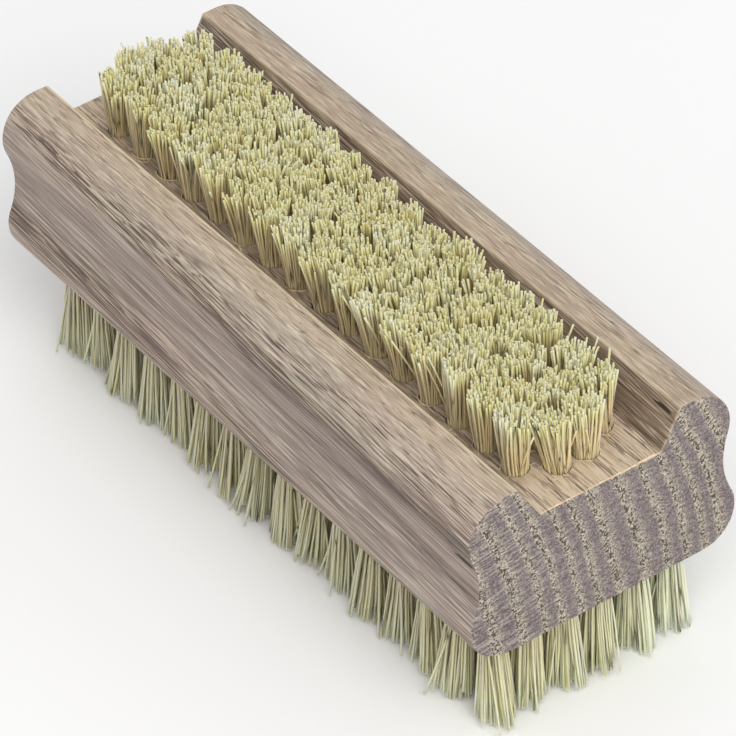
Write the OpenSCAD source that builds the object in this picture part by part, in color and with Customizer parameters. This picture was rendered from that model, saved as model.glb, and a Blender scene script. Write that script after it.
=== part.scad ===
// Nail brush: a wooden block with short bristles in a channel on top and long ones below.
// X runs along the block, its front end at +X. Z is up, and the bottom bristle tips stand on Z = 0.

/* [Block] */
// length of the block, from end face to end face
block_length = 95; // [85:1:110]
// greatest width, over the lower bulges
block_width = 37.4; // [36.4:0.2:42]
// height of the block, from its flat underside to the rail tops
block_height = 22.8; // [20:0.1:26]
// radius of the lower bulge along each long side
lower_bulge_radius = 5; // [4.5:0.1:5.5]
// radius of the upper bulge, which rounds the rail
upper_bulge_radius = 5.3; // [4.8:0.1:5.8]
// distance that the upper bulge stands back from the lower one
upper_bulge_inset = 0.4; // [0:0.1:0.8]
// radius of the hollow finger groove between the two bulges
groove_radius = 10.7; // [9:0.1:14]

/* [Channel] */
// depth of the channel below the rail tops
channel_depth = 5.1; // [4.5:0.1:5.7]
// width of the channel's flat floor
channel_floor_width = 16.8; // [16.4:0.1:17.6]
// width of the channel between the rail tops
channel_mouth_width = 22.6; // [21:0.1:24]

/* [Holes and anchors] */
// diameter of each drilled hole
hole_diameter = 3.3; // [3:0.05:3.4]
// thickness of the wood between the bottoms of the top holes and of the bottom holes
core_thickness = 3.7; // [3:0.1:5]
// thickness of the slice of wood under a row, in one solid with its tufts
slice_thickness = 0.8; // [0.6:0.1:1]
// width that the slice has beyond its holes
slice_extra = 0.1; // [0.1:0.05:0.2]
// thickness of the flat anchor wire
anchor_thickness = 0.4; // [0.3:0.05:0.5]
// height of the flat anchor wire
anchor_height = 1.8; // [1.4:0.1:2.2]
// height of the anchor above the bottom of its hole, where the tuft is folded
fold_height = 0.3; // [0.2:0.05:0.6]
// gap between the bristles and the hole, and between the bristles and the anchor
bristle_clearance = 0.08; // [0.05:0.01:0.12]

/* [Top bristles] */
// tufts in each outer top row; an inner row has one more
top_tufts = 16; // [12:1:16]
// distance from the front end face to the first tuft of an inner row
top_front_margin = 5.6; // [4.5:0.1:8]
// distance from the back end face to the last tuft of an inner row
top_back_margin = 4.6; // [4.5:0.1:8]
// distance from the outer holes to the foot of the channel wall
top_wall_gap = 0.9; // [0.8:0.05:1]
// height of the longest top bristles above the channel floor
top_bristle_length = 9.4; // [8:0.1:12]
// spread of a top tuft, its width at the tips over its width at the hole
top_flare_share = 1.3; // [1:0.01:1.3]

/* [Bottom bristles] */
// tufts in each bottom row
bottom_tufts = 16; // [12:1:16]
// distance from the front end face to the first bottom tuft
bottom_front_margin = 5; // [4:0.1:8]
// distance from the back end face to the last bottom tuft
bottom_back_margin = 6; // [4:0.1:9]
// distance from the widest point of the block to the outer row
bottom_side_margin = 6.2; // [6:0.1:6.6]
// reach of the bottom bristles below the block, to the level at which they are trimmed
bottom_bristle_length = 13.2; // [11:0.1:16]
// depth of the flat trim at the bottom bristle tips
bottom_trim = 0.5; // [0:0.1:0.8]
// spread of a bottom tuft, its width at the tips over its width at the hole
bottom_flare_share = 1.4; // [1:0.01:1.45]
// lean of the rows away from the middle, as a share of their distance from it
fan_side_share = 0.04; // [0:0.01:0.18]
// lean of the tufts towards the end faces, as a share of their distance from the middle
fan_end_share = 0.03; // [0:0.005:0.035]

/* [Bristle ends] */
// difference in length between the longest and the shortest bristles
tip_unevenness = 1; // [0:0.1:1.4]
// sideways stray of a bristle's tip
tip_stray = 0.08; // [0:0.01:0.09]
// pattern of the uneven ends
tip_seed = 7; // [1:1:40]

/* [Quality] */
// fineness of the block's bulges and grooves
round_facets = 48; // [24:8:96]
// sides of each small drilled hole
hole_sides = 10; // [8:1:12]

/* [View] */
// the sub-part to show

/* [Hidden] */

wood_color = [0.67, 0.59, 0.52];
bristle_color = [0.82, 0.82, 0.62];
wire_color = [0.62, 0.63, 0.65];

// how far a cut runs past the surface that it opens
overrun = 1;

// heights of the block's faces
underside_z = bottom_bristle_length;
rail_top_z = underside_z + block_height;
channel_floor_z = rail_top_z - channel_depth;

// centres of the bulges and of the finger groove, on the right half of the section
lower_centre = [block_width / 2 - lower_bulge_radius, lower_bulge_radius];
upper_centre = [
    block_width / 2 - upper_bulge_inset - upper_bulge_radius,
    block_height - upper_bulge_radius
];
lower_reach = lower_bulge_radius + groove_radius;
upper_reach = upper_bulge_radius + groove_radius;
bulge_span = norm(upper_centre - lower_centre);
along = (upper_centre - lower_centre) / bulge_span;
outward = [along[1], -along[0]];
groove_along = (lower_reach ^ 2 - upper_reach ^ 2 + bulge_span ^ 2) / (2 * bulge_span);
groove_out = sqrt(lower_reach ^ 2 - groove_along ^ 2);
groove_centre = lower_centre + groove_along * along + groove_out * outward;

// rows and pitches
top_rows = 4;
bottom_rows = 6;
// an inner top row reaches half a pitch beyond an outer one at both ends
top_pitch = (block_length - top_front_margin - top_back_margin) / top_tufts;
bottom_pitch = (block_length - bottom_front_margin - bottom_back_margin) / (bottom_tufts - 1);
top_row_spacing = (channel_floor_width - hole_diameter - 2 * top_wall_gap) / (top_rows - 1);
bottom_row_spacing = (block_width - 2 * bottom_side_margin) / (bottom_rows - 1);

// depth of each drilled hole
hole_depth = (block_height - channel_depth - core_thickness) / 2;

// distance from a hole's axis to the nearest point of its wall
hole_reach = hole_diameter / 2 * cos(180 / hole_sides);

// a tuft's bundle in its hole, which leaves room for the anchor across its middle
bundle_radius = hole_reach - bristle_clearance;
anchor_side = anchor_thickness / 2 + bristle_clearance;

// corners of a tuft's strands: one strand on one side of a gap and two on the other
function strands_around(gap) =
    let (half_width = sqrt(bundle_radius ^ 2 - gap ^ 2))
    [
        [[-half_width, gap], [half_width, gap], [0, bundle_radius]],
        [[-half_width, -gap], bundle_radius * [-sin(30), -cos(30)], [-bristle_clearance, -gap]],
        [[bristle_clearance, -gap], bundle_radius * [sin(30), -cos(30)], [half_width, -gap]],
    ];
HOLE_STRANDS = strands_around(anchor_side);
TIP_STRANDS = strands_around(bristle_clearance);
STRANDS = len(HOLE_STRANDS);
SIDES = 3;
RINGS = 3;

// an anchor reaches from wall to wall of its hole
anchor_length = 2 * hole_reach;

function is_inner(row) = row > 0 && row < top_rows - 1;
function top_row_tufts(row) = top_tufts + (is_inner(row) ? 1 : 0);
function top_row_y(row) = (row - (top_rows - 1) / 2) * top_row_spacing;
function bottom_row_y(row) = (row - (bottom_rows - 1) / 2) * bottom_row_spacing;
function top_row_front(row) =
    block_length / 2 - top_front_margin - (is_inner(row) ? 0 : top_pitch / 2);
bottom_row_front = block_length / 2 - bottom_front_margin;

// Block

module section() {
    difference() {
        union() {
            difference() {
                polygon([
                    [-lower_centre[0], 0],
                    [lower_centre[0], 0],
                    lower_centre,
                    groove_centre,
                    upper_centre,
                    [upper_centre[0], block_height],
                    [-upper_centre[0], block_height],
                    [-upper_centre[0], upper_centre[1]],
                    [-groove_centre[0], groove_centre[1]],
                    [-lower_centre[0], lower_centre[1]],
                ]);
                for (side = [-1, 1])
                    translate([side * groove_centre[0], groove_centre[1]])
                        circle(r = groove_radius, $fn = round_facets);
            }
            for (side = [-1, 1]) {
                translate([side * lower_centre[0], lower_centre[1]])
                    circle(r = lower_bulge_radius, $fn = round_facets);
                translate([side * upper_centre[0], upper_centre[1]])
                    circle(r = upper_bulge_radius, $fn = round_facets);
            }
        }
        channel_section();
    }
}

module channel_section() {
    slope = (channel_mouth_width - channel_floor_width) / 2 / channel_depth;
    open_half_width = channel_mouth_width / 2 + slope * overrun;
    polygon([
        [-channel_floor_width / 2, block_height - channel_depth],
        [channel_floor_width / 2, block_height - channel_depth],
        [open_half_width, block_height + overrun],
        [-open_half_width, block_height + overrun],
    ]);
}

module holes(count, pitch, front) {
    for (i = [0 : count - 1])
        translate([front - i * pitch, 0, -hole_depth])
            cylinder(h = hole_depth + overrun, d = hole_diameter, $fn = hole_sides);
}

// the slice of wood at the bottom of a row's holes
module slice(count, pitch, front) {
    slice_width = hole_diameter + slice_extra;
    slice_length = (count - 1) * pitch + slice_width;
    translate([
        front - slice_length + slice_width / 2,
        -slice_width / 2,
        -hole_depth - slice_thickness
    ])
        cube([slice_length, slice_width, slice_thickness]);
}

module at_top_row(row) {
    translate([0, top_row_y(row), channel_floor_z])
        children();
}

module at_bottom_row(row) {
    translate([0, bottom_row_y(row), underside_z])
        rotate([180, 0, 0])
            children();
}

module block() {
    color(wood_color)
        difference() {
            translate([-block_length / 2, 0, underside_z])
                rotate([90, 0, 90])
                    linear_extrude(height = block_length)
                        section();
            for (row = [0 : top_rows - 1])
                at_top_row(row) {
                    holes(top_row_tufts(row), top_pitch, top_row_front(row));
                    slice(top_row_tufts(row), top_pitch, top_row_front(row));
                }
            for (row = [0 : bottom_rows - 1])
                at_bottom_row(row) {
                    holes(bottom_tufts, bottom_pitch, bottom_row_front);
                    slice(bottom_tufts, bottom_pitch, bottom_row_front);
                }
        }
}

// Tufts

// One solid: a tuft's strands, straight in the hole and spreading above it, on the row's slice.
// lean moves a tip away from the middle, trim cuts the tips flat at length, and noise holds three
// values for each strand, from -1 to 1.
module tuft_row(count, pitch, front, length, trim, flare, lean, row_y, noise) {
    root_z = -hole_depth - slice_thickness / 2;
    points = [
        for (i = [0 : count - 1], s = [0 : STRANDS - 1], ring = [0 : RINGS - 1], c = [0 : SIDES - 1])
            let (
                x = front - i * pitch,
                turn = i % 2 == 0 ? 1 : -1,
                n = 3 * (i * STRANDS + s),
                is_tip = ring == RINGS - 1,
                spread = turn * (is_tip ? flare * TIP_STRANDS[s][c] : HOLE_STRANDS[s][c]),
                shift = is_tip
                    ? [lean[0] * x + tip_stray * noise[n], lean[1] * row_y + tip_stray * noise[n + 1]]
                    : [0, 0],
                uneven_length = length + trim - tip_unevenness * (1 + noise[n + 2]) / 2,
                z = ring == 0 ? root_z : ring == 1 ? 0 : min(uneven_length, length)
            )
            [x + spread[0] + shift[0], spread[1] + shift[1], z]
    ];
    faces = [
        for (strand = [0 : count * STRANDS - 1])
            let (first = strand * RINGS * SIDES)
            each concat(
                [[first, first + 1, first + 2]],
                [
                    for (ring = [0 : RINGS - 2], c = [0 : SIDES - 1])
                        let (
                            a = first + ring * SIDES + c,
                            b = first + ring * SIDES + (c + 1) % SIDES
                        )
                        each [[a, a + SIDES, b + SIDES], [a, b + SIDES, b]]
                ],
                [let (last = first + (RINGS - 1) * SIDES) [last + 2, last + 1, last]]
            )
    ];
    color(bristle_color)
        union() {
            slice(count, pitch, front);
            polyhedron(points = points, faces = faces);
        }
}

function noise_for(row, count) =
    rands(-1, 1, 3 * STRANDS * count, tip_seed + row);

module top_tufts(row) {
    at_top_row(row)
        tuft_row(
            top_row_tufts(row), top_pitch, top_row_front(row), top_bristle_length, 0,
            top_flare_share, [0, 0], top_row_y(row), noise_for(row, top_row_tufts(row))
        );
}

module bottom_tufts(row) {
    at_bottom_row(row)
        tuft_row(
            bottom_tufts, bottom_pitch, bottom_row_front, bottom_bristle_length, bottom_trim,
            bottom_flare_share, [fan_end_share, -fan_side_share], bottom_row_y(row),
            noise_for(top_rows + row, bottom_tufts)
        );
}

module top_tufts_row_1() { top_tufts(0); }
module top_tufts_row_2() { top_tufts(1); }
module top_tufts_row_3() { top_tufts(2); }
module top_tufts_row_4() { top_tufts(3); }
module bottom_tufts_row_1() { bottom_tufts(0); }
module bottom_tufts_row_2() { bottom_tufts(1); }
module bottom_tufts_row_3() { bottom_tufts(2); }
module bottom_tufts_row_4() { bottom_tufts(3); }
module bottom_tufts_row_5() { bottom_tufts(4); }
module bottom_tufts_row_6() { bottom_tufts(5); }

// Anchors

// flat pieces of wire on edge across the holes, between the two sides of each tuft
module anchor_row(count, pitch, front) {
    color(wire_color)
        for (i = [0 : count - 1])
            translate([
                front - i * pitch - anchor_length / 2,
                -anchor_thickness / 2,
                -hole_depth + fold_height
            ])
                cube([anchor_length, anchor_thickness, anchor_height]);
}

module top_anchors(row) {
    at_top_row(row)
        anchor_row(top_row_tufts(row), top_pitch, top_row_front(row));
}

module bottom_anchors(row) {
    at_bottom_row(row)
        anchor_row(bottom_tufts, bottom_pitch, bottom_row_front);
}

module top_anchors_row_1() { top_anchors(0); }
module top_anchors_row_2() { top_anchors(1); }
module top_anchors_row_3() { top_anchors(2); }
module top_anchors_row_4() { top_anchors(3); }
module bottom_anchors_row_1() { bottom_anchors(0); }
module bottom_anchors_row_2() { bottom_anchors(1); }
module bottom_anchors_row_3() { bottom_anchors(2); }
module bottom_anchors_row_4() { bottom_anchors(3); }
module bottom_anchors_row_5() { bottom_anchors(4); }
module bottom_anchors_row_6() { bottom_anchors(5); }

block();
top_tufts_row_1();
top_tufts_row_2();
top_tufts_row_3();
top_tufts_row_4();
bottom_tufts_row_1();
bottom_tufts_row_2();
bottom_tufts_row_3();
bottom_tufts_row_4();
bottom_tufts_row_5();
bottom_tufts_row_6();
top_anchors_row_1();
top_anchors_row_2();
top_anchors_row_3();
top_anchors_row_4();
bottom_anchors_row_1();
bottom_anchors_row_2();
bottom_anchors_row_3();
bottom_anchors_row_4();
bottom_anchors_row_5();
bottom_anchors_row_6();
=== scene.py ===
import math

import bpy
import numpy as np
from mathutils import Matrix, Vector


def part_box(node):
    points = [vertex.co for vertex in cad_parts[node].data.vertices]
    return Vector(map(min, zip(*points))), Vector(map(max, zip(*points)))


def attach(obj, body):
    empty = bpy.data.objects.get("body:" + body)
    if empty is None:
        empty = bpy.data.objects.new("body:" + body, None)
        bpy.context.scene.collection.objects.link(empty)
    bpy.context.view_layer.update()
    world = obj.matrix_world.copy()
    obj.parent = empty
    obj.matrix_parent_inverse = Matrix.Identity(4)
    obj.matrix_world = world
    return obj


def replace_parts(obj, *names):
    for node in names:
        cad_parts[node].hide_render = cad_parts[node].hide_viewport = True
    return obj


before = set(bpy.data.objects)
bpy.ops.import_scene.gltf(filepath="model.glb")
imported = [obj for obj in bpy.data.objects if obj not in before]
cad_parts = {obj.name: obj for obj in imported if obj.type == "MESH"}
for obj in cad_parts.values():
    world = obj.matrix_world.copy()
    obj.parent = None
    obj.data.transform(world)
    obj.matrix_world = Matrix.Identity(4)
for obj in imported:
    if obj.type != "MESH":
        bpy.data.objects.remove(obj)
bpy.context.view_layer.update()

# Nail brush: a grooved block of grey-brown wood, with tufts of pale plant fibre in drilled holes.
# Metres. X runs along the block, its front end at +X, and the bottom bristles stand on Z = 0.

# The block's box in the frame.
BLOCK_LOW, BLOCK_HIGH = (np.array(corner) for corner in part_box("block"))
BLOCK_LENGTH = BLOCK_HIGH[0] - BLOCK_LOW[0]
BLOCK_WIDTH = 0.0374
BLOCK_HEIGHT = BLOCK_HIGH[2] - BLOCK_LOW[2]
UNDERSIDE_Z = BLOCK_LOW[2]

# Bulges and finger groove of each long side.
LOWER_BULGE_RADIUS = 0.0050
UPPER_BULGE_RADIUS = 0.0053
UPPER_BULGE_INSET = 0.0004
GROOVE_RADIUS = 0.0107

# Channel between the rails, and its eased corners.
CHANNEL_DEPTH = 0.0051
CHANNEL_FLOOR_WIDTH = 0.0168
CHANNEL_MOUTH_WIDTH = 0.0226
MOUTH_ROUNDING = 0.0005
FLOOR_ROUNDING = 0.0004
CHANNEL_FLOOR_Z = BLOCK_HIGH[2] - CHANNEL_DEPTH

# Drilled holes and the rows of tufts.
HOLE_RADIUS = 0.00165
HOLE_DEPTH = 0.0070
HOLE_OVERRUN = 0.0010
HOLE_SIDES = 24
TOP_ROWS = 4
TOP_TUFTS = 16
TOP_FRONT_MARGIN = 0.0056
TOP_BACK_MARGIN = 0.0046
TOP_WALL_GAP = 0.0009
BOTTOM_ROWS = 6
BOTTOM_TUFTS = 16
BOTTOM_FRONT_MARGIN = 0.0050
BOTTOM_BACK_MARGIN = 0.0060
BOTTOM_SIDE_MARGIN = 0.0062

TOP_PITCH = (BLOCK_LENGTH - TOP_FRONT_MARGIN - TOP_BACK_MARGIN) / TOP_TUFTS
BOTTOM_PITCH = (BLOCK_LENGTH - BOTTOM_FRONT_MARGIN - BOTTOM_BACK_MARGIN) / (BOTTOM_TUFTS - 1)
TOP_ROW_SPACING = (CHANNEL_FLOOR_WIDTH - 2 * HOLE_RADIUS - 2 * TOP_WALL_GAP) / (TOP_ROWS - 1)
BOTTOM_ROW_SPACING = (BLOCK_WIDTH - 2 * BOTTOM_SIDE_MARGIN) / (BOTTOM_ROWS - 1)

# Wood surface: spacing of its points, its waviness, and its worn end edges with the stations that
# round them, how much the rounding varies, and its least and most. A reach is how far a variation
# carries, in stations along the block and in points round the outline.
BLOCK_SEED = 3
OUTLINE_SPACING = 0.0007
LENGTH_SPACING = 0.0010
LOWER_BULGE_POINTS = 22
GROOVE_POINTS = 18
UPPER_BULGE_POINTS = 24
CORNER_POINTS = 4
WAVINESS = 0.00004
WAVE_SHARE = 0.35
WAVE_REACH = (9, 3)
ARRIS_ROUNDING = 0.00022
ARRIS_STATIONS = (0, 0.08, 0.3, 0.65, 1.1)
ARRIS_VARIATION = 0.45
ARRIS_RANGE = (0.25, 2.4)
ARRIS_REACH = (400, 2.5)
SMOOTH_ANGLE = 38

# Torn fibres: ragged crescents at the holes' rims, slivers beside them, and a burr along the front
# edge of the channel floor. The slivers that show most have their place, heading and length, and
# the burr's heaps their share of the way to its end, their width and their height.
TORN_FIBRE_SEED = 8
TORN_FIBRE_STATIONS = 9
TORN_FIBRE_SIDES = 5
RIM_BURRS = 150
RIM_BURR_GAP = 0.0001
RIM_BURR_FLARE = 0.0003
RIM_BURR_ROUGHNESS = 0.00002
RIM_BURR_RISE = 0.00006
RIM_BURR_TURN = (0.7, 2.2)
RIM_BURR_THICKNESS = (0.00005, 0.00010)
SMALL_SLIVERS = 60
SLIVER_GAP = 0.0001
SLIVER_SWERVE = 0.35
SMALL_SLIVER_LENGTH = (0.0004, 0.0011)
SLIVER_CURL = (0.5, 1.7)
SLIVER_THICKNESS = (0.05, 0.085)
LARGE_SLIVERS = (
    (0.0436, -0.0024, 38, 0.0013), (0.0432, -0.0040, 20, 0.0016), (0.0408, 0.0052, 25, 0.0017),
    (0.0417, 0.0043, -5, 0.0013), (-0.0338, -0.0077, 20, 0.0016), (-0.0120, -0.0079, 160, 0.0012),
    (0.0215, 0.0078, 15, 0.0013), (0.0302, -0.0077, -20, 0.0011),
)
BURR_POINTS = 300
BURR_SIDES = 6
BURR_HEAPS = ((0.83, 0.0008, 1.0), (0.66, 0.0004, 0.5))
BURR_INSET = 0.00024
BURR_THICKNESS = (0.00002, 0.00017)

# Bristles, above and below the block: the face they stand on and their way from it, the fibres in a
# tuft and their radius, the tuft's half width at its tips along and across the block, how ragged
# its tips are, how far it leans at random, the middle of its tones, and the first row's seed.
TOP_BRISTLES = dict(
    side="top", face_z=CHANNEL_FLOOR_Z, up=1, fibres=126, radius=0.00014,
    tip_spread=(0.0026, 0.0024), raggedness=1.8, lean=0.00025, tone=0.42, seed=20,
)
# Under the block the middle tone is paler than above, as painted light from the white floor.
BOTTOM_BRISTLES = dict(
    side="bottom", face_z=UNDERSIDE_Z, up=-1, fibres=112, radius=0.00015,
    tip_spread=(0.0031, 0.0025), raggedness=0.9, lean=0.0005, tone=0.78, seed=40,
)
TOP_BRISTLE_LENGTH = 0.00938
TOP_END_WEAR = 0.0006
TOP_WEAR_REACH = 0.9
TOP_WEAR_POWER = 6
BOTTOM_SIDE_LEAN = 0.02
BOTTOM_SET = -0.0008
FIBRE_SIDES = 5
HOLE_STATIONS = (-0.5, -0.25)
FIBRE_STATIONS = (0, 0.22, 0.5, 0.78, 1.0)
FIBRE_THICKNESS = (0.72, 1.16)
FIBRE_BOW = 0.00013
SPREAD_POWER = 1.15
GOLDEN_ANGLE = 137.508

# A tuft in its hole and at its tips. Clumps and jitters are shares of the tuft's half width.
HOLE_FILL = 0.97
ANCHOR_HALF_GAP = 0.00042
ROOT_SQUEEZE = 0.7
ROOT_CLEARANCE = 0.0004
TIP_INSET = 0.0005
CLUMPS = 9
CLUMP_PULL = 0.24
CLUMP_JITTER = 0.10
CLUMP_SHIFT = 0.08
ROOT_JITTER = 0.035
TIP_JITTER = 0.07
STRAY_SHARE = 0.035
STRAY_JITTER = 0.6
STRAY_LIMIT = 0.9

# How far a tuft, a clump and a fibre fall short of the full length, and the few that do most.
TUFT_DROP = 0.0006
CLUMP_DROP = 0.0006
FIBRE_DROP = 0.00027
SHORT_SHARE = 0.03
SHORT_DROP = 0.002

# Tones: how much a fibre, a tuft and a clump differ, the palest, and the few brown ones.
FIBRE_TONE = 0.12
TUFT_TONE = 0.10
CLUMP_TONE = 0.10
PALEST_TONE = 0.9
BROWN_SHARE = 0.012
BROWN_TONE = 1.0

# Growth rings in the section, in millimetres: where each year starts across the block at the height
# that they bend from, and how much they slant and bend above it.
RING_STARTS = (
    -22.6, -19.3, -15.8, -12.2, -8.8, -6.6, -3.8, -1.4, 1.3, 5.1, 8.6, 11.3, 13.7, 16.1, 19.2, 22.4,
    25.8,
)
RING_FOOT = 14.0
RING_SLANT = 0.075
RING_CURVE = 0.0085

# Bands of open grain along the sides: their height at the middle of the block, in millimetres, and
# how much of the open grain they have. All the grain falls towards the front end by the same share.
SIDE_BANDS = (
    (13.0, 0.35), (15.2, 0.5), (16.2, 1.0), (18.3, 1.0), (19.6, 0.35), (21.6, 0.0), (30.3, 0.0),
    (31.4, 0.6), (32.0, 1.0), (33.2, 0.8), (34.5, 0.5), (40.0, 0.6),
)
GRAIN_FALL = 0.055

# Dark seams in those bands, by the same height, and the stretch along X in which each grows from
# its first share to its second.
SIDE_SEAMS = (
    (((15.6, 0.0), (17.0, 0.6), (18.8, 0.8), (20.2, 0.0)), (-8.0, -20.0), (0.0, 1.0)),
    (((24.6, 0.0), (25.6, 0.7), (26.3, 0.7), (27.0, 0.0)), (0.0, 20.0), (0.0, 1.0)),
    (
        ((29.0, 0.0), (30.0, 0.4), (31.0, 0.9), (32.0, 1.0), (32.8, 0.7), (33.7, 0.0)),
        (-30.0, 10.0), (0.25, 1.0),
    ),
)

# What the wood figure gives.
FIGURE_PARTS = ("Early", "Seams", "Vessels", "Fibre", "Lines", "Drift")

# Slant of the saw lines on the ends, in degrees.
SAW_SLANT = -7

# Width of the worn edges and their painted highlight, in millimetres.
WORN_HIGHLIT_EDGE_WIDTH = 0.42

# Small splits along the grain: middle in millimetres, and half lengths along, across and up.
SPLITS = (
    ((45.3, -17.7, 27.6), (2.1, 3.0, 0.42)),
    ((44.8, 10.8, 34.8), (2.0, 0.5, 0.24)),
)

# Camera, fitted to the photograph: azimuth, elevation and roll in degrees, distance, aim and lens.
CAMERA_ANGLES = (56.97, 39.84, -3.77)
CAMERA_DISTANCE = 0.80584
CAMERA_AIM_RIGHT = 0.0005236
CAMERA_AIM_UP = 0.0027575
CAMERA_LENS = 334.4


# Shapes

def arc(centre, radius, start, end, count):
    """Centre plus radius times the cosine and sine of count even angles, without the last one."""
    angle = np.radians(np.linspace(start, end, count, endpoint=False))
    return np.asarray(centre) + radius * np.stack([np.cos(angle), np.sin(angle)], 1)


def line(start, end):
    """Start plus even shares of the way to the end, without the end itself."""
    start, end = np.asarray(start), np.asarray(end)
    count = max(int(round(np.linalg.norm(end - start) / OUTLINE_SPACING)), 1)
    return start + np.arange(count)[:, None] / count * (end - start)


def eased_corner(before, corner, after, radius):
    """An arc that touches both sides of a corner: its centre lies on the bisector, at radius over
    the sine of half the angle, and it starts and ends at radius over the tangent of half the
    angle."""
    before, corner, after = (np.asarray(p) for p in (before, corner, after))
    a = (before - corner) / np.linalg.norm(before - corner)
    b = (after - corner) / np.linalg.norm(after - corner)
    half = np.arccos(a @ b) / 2
    centre = corner + (a + b) / np.linalg.norm(a + b) * radius / np.sin(half)
    start = corner + a * radius / np.tan(half) - centre
    end = corner + b * radius / np.tan(half) - centre
    first = np.degrees(np.arctan2(start[1], start[0]))
    turn = (np.degrees(np.arctan2(end[1], end[0])) - first + 180) % 360 - 180
    points = arc(centre, radius, first, first + turn, CORNER_POINTS)
    return np.vstack([points, centre + end])


def block_outline():
    """The block's section in (y, z) from its underside: a lower bulge, a hollow groove tangent to
    both bulges, an upper bulge, a flat rail top, a slanted wall and a flat floor, and the same
    mirrored."""
    lower = np.array([BLOCK_WIDTH / 2 - LOWER_BULGE_RADIUS, LOWER_BULGE_RADIUS])
    upper = np.array([
        BLOCK_WIDTH / 2 - UPPER_BULGE_INSET - UPPER_BULGE_RADIUS,
        BLOCK_HEIGHT - UPPER_BULGE_RADIUS,
    ])
    lower_reach = LOWER_BULGE_RADIUS + GROOVE_RADIUS
    upper_reach = UPPER_BULGE_RADIUS + GROOVE_RADIUS
    span = np.linalg.norm(upper - lower)
    along = (upper - lower) / span
    outward = np.array([along[1], -along[0]])
    groove_along = (lower_reach ** 2 - upper_reach ** 2 + span ** 2) / (2 * span)
    groove_away = math.sqrt(lower_reach ** 2 - groove_along ** 2)
    groove = lower + groove_along * along + groove_away * outward
    to_lower = np.degrees(np.arctan2(*(groove - lower)[::-1]))
    to_upper = np.degrees(np.arctan2(*(groove - upper)[::-1]))
    mouth = np.array([CHANNEL_MOUTH_WIDTH / 2, BLOCK_HEIGHT])
    foot = np.array([CHANNEL_FLOOR_WIDTH / 2, BLOCK_HEIGHT - CHANNEL_DEPTH])
    rail_top = np.array([upper[0], BLOCK_HEIGHT])
    floor_middle = np.array([0, foot[1]])
    mouth_arc = eased_corner(rail_top, mouth, foot, MOUTH_ROUNDING)
    foot_arc = eased_corner(mouth, foot, floor_middle, FLOOR_ROUNDING)
    half = np.vstack([
        line([0, 0], [lower[0], 0]),
        arc(lower, LOWER_BULGE_RADIUS, -90, to_lower, LOWER_BULGE_POINTS),
        arc(groove, GROOVE_RADIUS, 180 + to_lower, 180 + to_upper, GROOVE_POINTS),
        arc(upper, UPPER_BULGE_RADIUS, to_upper, 90, UPPER_BULGE_POINTS),
        line(rail_top, mouth_arc[0]),
        mouth_arc[:-1],
        line(mouth_arc[-1], foot_arc[0]),
        foot_arc[:-1],
        line(foot_arc[-1], floor_middle),
        [floor_middle],
    ])
    return np.vstack([half, (half * [-1, 1])[-2:0:-1]])


def smooth_noise(rng, rows, columns, row_reach, column_reach):
    """Random values blurred along both ways by a bell curve and scaled back to a spread of one. The
    columns close on themselves."""
    values = rng.standard_normal((rows, columns))
    far = np.fft.fftfreq(rows)[:, None] * row_reach
    round_the_outline = np.fft.fftfreq(columns)[None] * column_reach
    bell = np.exp(-2 * (np.pi * far) ** 2 - 2 * (np.pi * round_the_outline) ** 2)
    values = np.fft.ifft2(np.fft.fft2(values) * bell).real
    return values / values.std()


def new_piece(name, points, faces, materials):
    """A mesh object with its place in its mesh."""
    mesh = bpy.data.meshes.new(name)
    mesh.from_pydata(points, [], faces)
    mesh.update()
    piece = bpy.data.objects.new(name, mesh)
    bpy.context.scene.collection.objects.link(piece)
    for material in materials:
        mesh.materials.append(material)
    return piece


def block_surface():
    """The outline carried along X. Near each end it shrinks inwards along its normals by a quarter
    circle, the worn edge, whose radius varies round the outline. The rest waves slightly, in long
    streaks along the grain."""
    rng = np.random.default_rng(BLOCK_SEED)
    outline = block_outline()
    tangent = np.roll(outline, -1, 0) - np.roll(outline, 1, 0)
    normal = np.stack([tangent[:, 1], -tangent[:, 0]], 1) / np.linalg.norm(tangent, axis=1)[:, None]
    count = int(round(BLOCK_LENGTH / LENGTH_SPACING))
    even = np.linspace(BLOCK_LOW[0], BLOCK_HIGH[0], count + 1)[1:-1]
    edge = ARRIS_ROUNDING * np.array(ARRIS_STATIONS)
    stations = np.concatenate([BLOCK_LOW[0] + edge, even, (BLOCK_HIGH[0] - edge)[::-1]])
    uneven = smooth_noise(rng, len(stations), len(outline), *ARRIS_REACH)
    wear = ARRIS_ROUNDING * (1 + ARRIS_VARIATION * uneven)
    wear = np.clip(wear, ARRIS_ROUNDING * ARRIS_RANGE[0], ARRIS_ROUNDING * ARRIS_RANGE[1])
    depth = np.minimum(stations - BLOCK_LOW[0], BLOCK_HIGH[0] - stations)[:, None]
    to_edge = np.clip(wear - depth * wear / ARRIS_ROUNDING, 0, wear)
    inset = wear - np.sqrt(wear ** 2 - to_edge ** 2)
    wave = WAVINESS * smooth_noise(rng, len(stations), len(outline), *WAVE_REACH)
    inset = inset + (wave - wave.min()) * WAVE_SHARE
    points = np.empty((len(stations), len(outline), 3))
    points[..., 0] = stations[:, None]
    points[..., 1:] = outline - inset[..., None] * normal
    points[..., 2] += UNDERSIDE_Z
    return points


def grid_faces(rows, columns):
    """Quads between neighbouring rings of a tube, which turn with the ring and face outwards, and a
    flat face at each end."""
    start = np.arange(rows - 1)[:, None] * columns + np.arange(columns)
    following = np.roll(start, -1, 1)
    quads = np.stack([start, following, following + columns, start + columns], -1).reshape(-1, 4)
    return quads, np.arange(columns)[::-1], (rows - 1) * columns + np.arange(columns)


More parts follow.
